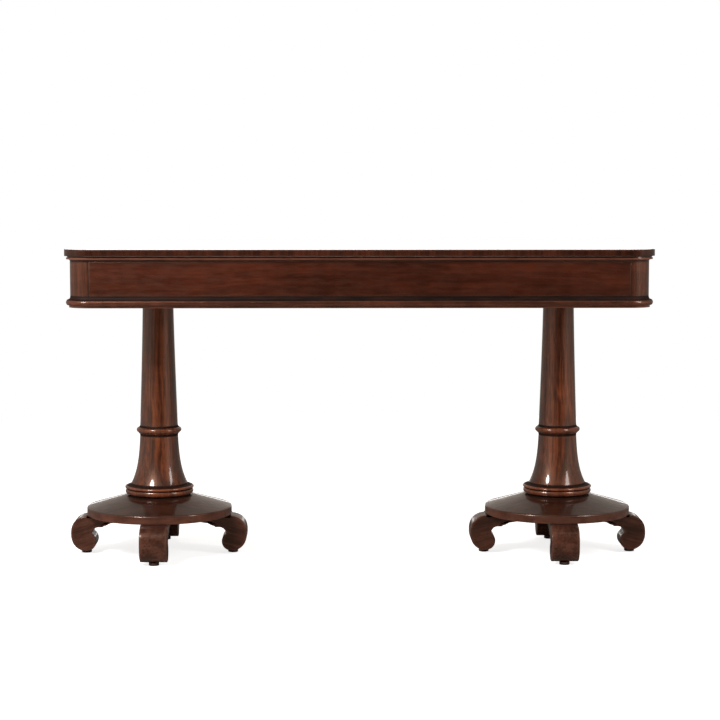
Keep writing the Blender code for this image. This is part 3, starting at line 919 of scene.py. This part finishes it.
def scroll_foot(node, side, turn, finish):
    """A scroll foot, cut to shape from a thick plank, with its long edges rounded over."""
    platform_low, platform_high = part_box(f"platform_{side}")
    centre_x = (platform_low.x + platform_high.x) / 2
    low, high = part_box(node)
    width = min(high.x - low.x, high.y - low.y)
    radius = (platform_high.x - platform_low.x) / 2
    outline = foot_outline(platform_low.z - GAP, low.z, radius)
    bm = foot_mesh(outline, width, rounding=0.0022, flat=0.0045)
    glaze_and_shade = bm.verts.layers.float.get("glaze_and_shade")
    root_shade = 0.9
    root_fading = 0.004
    # painted shade where the foot meets the platform
    for vert in bm.verts:
        to_platform = math.hypot(max(vert.co.x - radius, 0.0), max(platform_low.z - vert.co.z, 0.0))
        vert[glaze_and_shade] = root_shade * math.exp(-to_platform / root_fading)
    place = Matrix.Translation((centre_x, 0, 0)) @ Matrix.Rotation(turn, 4, "Z")
    skin(node, bm, [finish], grain_foot, place)


def inset_outline(outline, distance):
    """The outline moved inwards, along the mean of the normals at each of its points."""
    area = 0.0
    for a, b in zip(outline, outline[1:] + outline[:1]):
        area += a.x * b.y - b.x * a.y
    inward = 1.0 if area > 0 else -1.0
    moved = []
    count = len(outline)
    for k, point in enumerate(outline):
        before = (point - outline[k - 1]).normalized()
        after = (outline[(k + 1) % count] - point).normalized()
        along = (before + after).normalized()
        moved.append(point + Vector((-along.y, along.x)) * inward * distance)
    return moved


def foot_mesh(outline, width, rounding, flat):
    """The outline carried across the foot's width, in sections of (place across, inset, wear and highlight):
    its rounded edges are lighter, rubbed wear with a painted highlight.
    """
    clean_from = 0.38 * (width - 2 * rounding)
    half = [(width / 2, rounding + flat, 0.0)]
    for turn in range(0, 91, 30):
        angle = math.radians(turn)
        across = width / 2 - rounding * (1 - math.cos(angle))
        half.append((across, rounding * (1 - math.sin(angle)), 0.9 if 0 < turn < 90 else 0.5))
    half.append((clean_from, 0.0, 0.0))
    sections = [(-across, inset, wear_and_highlight) for across, inset, wear_and_highlight in half] + half[::-1]
    rings = [[(p.x, across, p.y) for p in inset_outline(outline, inset)] for across, inset, _ in sections]
    return loft(rings, [(0.0, wear_and_highlight) for _, _, wear_and_highlight in sections])


def glide(node, finish):
    """A round glide under a foot, with its lower edge rounded."""
    low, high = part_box(node)
    radius = (high.x - low.x) / 2
    rounding = 0.0015
    edge = arc((radius - rounding, rounding), (rounding, rounding), -90, 0, 5)
    outline = edge + arc((radius - rounding, high.z - rounding), (rounding, rounding), 0, 60, 3)
    outline.append(Vector((radius / 2, high.z)))
    place = Matrix.Translation(((low.x + high.x) / 2, (low.y + high.y) / 2, 0))
    skin(node, turned(outline, SMALL_SEGMENTS), [finish], grain_z, place)


def feet(side, wood, plastic):
    """The four scroll feet of one pedestal, a quarter turn apart, each on its glide."""
    right, left = ("inner", "outer") if side == "left" else ("outer", "inner")
    for quarter, direction in enumerate((right, "front", left, "back")):
        scroll_foot(f"foot_{side}_{direction}", side, quarter * math.pi / 2, wood)
        glide(f"glide_{side}_{direction}", plastic)


# ---------------- the drawers


def drawer_front(node, finish):
    """A drawer front with the groove for the bottom along its back, rounded at its edges."""
    low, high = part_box(node)
    bottom_low, bottom_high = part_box(node.replace("_front", "_bottom"))
    groove_end = bottom_high.y + GAP
    groove_low = bottom_low.z - GAP
    groove_high = bottom_high.z + GAP
    section = [(high.y, low.z), (high.y, high.z), (low.y, high.z), (low.y, groove_high)]
    section += [(groove_end, groove_high), (groove_end, groove_low), (low.y, groove_low), (low.y, low.z)]
    bm = loft([[(x, y, z) for y, z in section] for x in (low.x, high.x)])
    bevelled(bm, width=0.0008, inset=0.0024)
    skin(node, bm, [finish], grain_x)


def knob(node, finish):
    """A turned knob: a rose, a neck and a flattened head with a fine line turned round it."""
    low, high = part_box(node)
    head_middle = 0.0180
    head_radii = ((high.x - low.x) / 2, 0.0075)
    head_end = 75
    line_radius = 0.62 * head_radii[0]
    line_half_width = 0.0007
    line_depth = 0.0006
    rose = [(0.0105, GAP), (0.0105, 0.0018), (0.0062, 0.0038), (0.0055, 0.0090)]
    head = arc((0, head_middle), head_radii, -40, head_end, 36)
    for point in head:
        if abs(point.x - line_radius) < line_half_width and point.y > head_middle:
            point.y -= line_depth
    outline = soften([Vector(point) for point in rose] + head, 0.0006)
    face_y = high.y - head_middle - head_radii[1] * math.sin(math.radians(head_end))
    centre = ((low.x + high.x) / 2, face_y, (low.z + high.z) / 2)
    place = Matrix.Translation(centre) @ Matrix.Rotation(-math.pi / 2, 4, "X")
    skin(node, turned(outline, SMALL_SEGMENTS), [finish], grain_z, place)


def repaint(nodes, finish):
    """Gives CAD nodes whose shape is right their finish."""
    for node in nodes:
        slots = frame["nodes"][node].data.materials
        slots.clear()
        slots.append(finish)


# ---------------- the studio


def floor():
    """A round pale floor, which looks darker in the desk's polish than it does to the camera."""
    radius = 3.0
    segments = 128
    bm = bmesh.new()
    turns = [2 * math.pi * i / segments for i in range(segments)]
    bm.faces.new([bm.verts.new((radius * math.cos(t), radius * math.sin(t), 0.0)) for t in turns])
    mesh = bpy.data.meshes.new("studio_floor")
    bm.to_mesh(mesh)
    bm.free()
    made, tree, shader = new_material("pale_floor")
    cloud = noise(tree, object_place(tree, "XYZ"), (1.5, 1.5, 1.5), 3.0)
    paint = ramp(tree, cloud, ((0.3, (0.86, 0.86, 0.86)), (0.7, (0.90, 0.90, 0.90))))
    path = tree.nodes.new("ShaderNodeLightPath")
    paint = mix(tree, path.outputs["Is Glossy Ray"], paint, (0.26, 0.24, 0.22))
    glow = maths(tree, "MULTIPLY", path.outputs["Is Camera Ray"], 0.80)
    join(tree, paint, shader.inputs["Base Color"])
    join(tree, glow, shader.inputs["Emission Strength"])
    shader.inputs["Roughness"].default_value = 0.9
    shader.inputs["Specular IOR Level"].default_value = 0.1
    mesh.materials.append(made)
    piece = bpy.data.objects.new("studio_floor", mesh)
    bpy.context.scene.collection.objects.link(piece)


def softbox(name, place, aim, size, radiance):
    """An oval soft light of a given brightness, which the camera itself doesn't see."""
    lamp = bpy.data.lights.new(name, "AREA")
    lamp.shape = "ELLIPSE"
    lamp.size, lamp.size_y = size
    lamp.energy = radiance * math.pi * math.pi / 4 * size[0] * size[1]
    holder = bpy.data.objects.new(name, lamp)
    holder.location = place
    holder.rotation_euler = (Vector(aim) - Vector(place)).to_track_quat("-Z", "Y").to_euler()
    holder.visible_camera = False
    bpy.context.scene.collection.objects.link(holder)
    return holder


def link_light(lamp, piece, state):
    """INCLUDE lets a lamp light this piece alone, and EXCLUDE keeps the lamp's light off it."""
    receivers = bpy.data.collections.new(f"{lamp.name}_receivers")
    receivers.objects.link(piece)
    receivers.collection_objects[0].light_linking.link_state = state
    lamp.light_linking.receiver_collection = receivers


def overhead_light():
    """A weak, very soft light from straight above."""
    lamp = bpy.data.lights.new("overhead", "SUN")
    lamp.energy = 0.3
    lamp.angle = math.radians(60)
    lamp.color = (1.0, 0.96, 0.92)
    holder = bpy.data.objects.new("overhead", lamp)
    holder.visible_camera = False
    bpy.context.scene.collection.objects.link(holder)


def round_the_desk(tree, bearing, levels):
    """A brightness that runs smoothly through the given levels, once round from straight behind the desk,
    past its left end first."""
    last = len(levels) - 1
    stops = [(i / last, (level, level, level)) for i, level in enumerate(levels)]
    turned_share = maths(tree, "ADD", maths(tree, "DIVIDE", bearing, 2 * math.pi), 0.5)
    return ramp(tree, turned_share, stops, "EASE")


def surroundings():
    """Soft screens: brighter at both sides, dim round the camera, with a bright strip low behind that the
    top mirrors. The camera itself sees plain white."""
    world = bpy.data.worlds.new("studio")
    world.use_nodes = True
    tree = world.node_tree
    background = tree.nodes["Background"]
    direction = tree.nodes.new("ShaderNodeTexCoord").outputs["Generated"]
    split = tree.nodes.new("ShaderNodeSeparateXYZ")
    join(tree, direction, split.inputs[0])
    height = split.outputs["Z"]
    towards_camera = maths(tree, "MULTIPLY", split.outputs["Y"], -1.0)
    bearing = maths(tree, "ARCTAN2", split.outputs["X"], towards_camera)
    low_levels = (0.44, 0.28, 0.38, 0.56, 0.64, 0.30, 0.01, 0.06, 0.66, 0.42, 0.28, 0.26, 0.44)
    high_levels = (0.30, 0.20, 0.10, 0.20, 0.30)
    low = round_the_desk(tree, bearing, low_levels)
    high = round_the_desk(tree, bearing, high_levels)
    brightness = mix(tree, spread(tree, height, 0.15, 0.65), low, high)
    risen = maths(tree, "SUBTRACT", spread(tree, height, -0.01, 0.01), spread(tree, height, 0.050, 0.065))
    behind = spread(tree, maths(tree, "ABSOLUTE", bearing), math.radians(160), math.radians(168))
    strip = maths(tree, "MULTIPLY", maths(tree, "MULTIPLY", risen, behind), 1.9)
    brightness = mix(tree, 1.0, brightness, (1.0, 0.89, 0.79), "MULTIPLY")
    brightness = mix(tree, 1.0, brightness, strip, "ADD")
    seen = tree.nodes.new("ShaderNodeLightPath").outputs["Is Camera Ray"]
    colour = mix(tree, seen, brightness, (1.0, 1.0, 1.0))
    join(tree, colour, background.inputs["Color"])
    bpy.context.scene.world = world


def camera():
    """Looks at the desk's plain back from a little above its top."""
    seat = Vector((-0.066, -5.127, 0.936))
    pitch = math.radians(5.12)
    yaw = math.radians(0.779)
    made = bpy.data.cameras.new("camera")
    made.sensor_width = 36.0
    made.lens = 104.5
    holder = bpy.data.objects.new("camera", made)
    holder.location = seat
    holder.rotation_euler = (math.pi / 2 - pitch, 0.0, -yaw)
    bpy.context.scene.collection.objects.link(holder)
    bpy.context.scene.camera = holder


def studio(top):
    """The keys miss the top, so that its polish doesn't mirror them. It has two softer lights of its own: one
    above it, and a low one for its edge."""
    lamps = (
        ("left_key", (-1.40, -1.50, 1.66), (-0.20, -0.10, 0.50), (0.65, 0.75), 37.0, "EXCLUDE"),
        ("right_key", (1.55, -1.10, 1.35), (0.20, -0.10, 0.50), (0.50, 1.30), 9.5, "EXCLUDE"),
        ("top_light", (0.00, 0.00, 2.60), (0.00, 0.00, 0.76), (2.40, 1.60), 1.3, "INCLUDE"),
        ("edge_light", (-0.15, -1.00, 0.08), (-0.15, -0.33, 0.75), (2.00, 0.20), 13.0, "INCLUDE"),
    )
    floor()
    surroundings()
    overhead_light()
    for name, place, aim, size, radiance, state in lamps:
        link_light(softbox(name, place, aim, size, radiance), top, state)
    camera()
    bpy.context.scene.view_settings.view_transform = "Standard"


# ---------------- the desk


def build():
    """Makes every finish and every fine piece, and returns the top."""
    veneer = mahogany("frieze_veneer", (0.036, 0.0064, 0.0026), (0.047, 0.0084, 0.0034),
                      (0.061, 0.0116, 0.0047), figure=0.10, streaks=0.22)
    field = mahogany("top_field", (0.030, 0.0066, 0.0032), (0.050, 0.0110, 0.0053), (0.074, 0.0175, 0.0085),
                     figure=0.18, stripe_width=0.045)
    border = mahogany("crossbanding", (0.029, 0.0056, 0.0022), (0.048, 0.0092, 0.0035),
                      (0.073, 0.0150, 0.0058), stripe_width=0.012, polish=0.7)
    solid = mahogany("solid_mahogany", (0.026, 0.0060, 0.0026), (0.078, 0.0166, 0.0060),
                     (0.165, 0.0410, 0.0136), stripe_width=0.027, streaks=0.55)
    trim = mahogany("trim_mahogany", (0.032, 0.0080, 0.0040), (0.057, 0.0145, 0.0066),
                    (0.088, 0.0235, 0.0108), figure=0.20, polish=0.65)
    foot_wood = mahogany("foot_mahogany", (0.037, 0.0125, 0.0076), (0.062, 0.0212, 0.0130),
                         (0.094, 0.0325, 0.0200), streaks=0.40, polish=0.5)
    # a much darker copy of the mahogany for the domes, painted shade; the rims of the same pieces use the
    # trim
    dome = mahogany("dome_mahogany_shaded", (0.013, 0.0034, 0.0018), (0.022, 0.0056, 0.0028),
                    (0.035, 0.0094, 0.0048))
    hollow = matt_hollow("glazed_and_shaded_hollow")
    brass = antique_brass("antique_brass")
    plastic = brown_plastic("brown_plastic")

    top = table_top(field, border)
    moulded_frame("top_frame", top_moulding, top_marks, [trim, hollow])
    moulded_frame("base_frame", base_moulding, base_marks, [trim, hollow])
    for depth, side_y in (("front", 1), ("back", -1)):
        for side, side_x in (("left", -1), ("right", 1)):
            corner_post(f"corner_post_{depth}_{side}", side_x, side_y, trim)
    panel("back_frieze", veneer, grain_x)
    panel("end_frieze_left", veneer, grain_y)
    panel("end_frieze_right", veneer, grain_y)
    panel("drawer_divider", veneer, grain_z)
    for side in ("left", "right"):
        column(side, [solid, hollow])
        platform(side, [dome, trim])
        feet(side, foot_wood, plastic)
        drawer_front(f"drawer_{side}_front", veneer)
        for end in ("left", "right"):
            knob(f"drawer_{side}_{end}_knob", brass)

    lengthways = secondary_wood("secondary_wood_lengthways", "XYZ")
    depthways = secondary_wood("secondary_wood_depthways", "YXZ")
    drawers = ("drawer_left", "drawer_right")
    repaint([f"{drawer}_{part}" for drawer in drawers for part in ("back", "bottom")], lengthways)
    repaint([f"{drawer}_{part}" for drawer in drawers for part in ("left_side", "right_side")], depthways)
    repaint(["centre_runner", "centre_kicker", "drawer_guide_left", "drawer_guide_right"], depthways)
    repaint(["cross_bearer_left", "cross_bearer_right"], depthways)
    repaint(["mounting_plate_left", "mounting_plate_right"], zinc_plate("zinc_plated_steel"))
    return top


desk_top = build()
studio(desk_top)
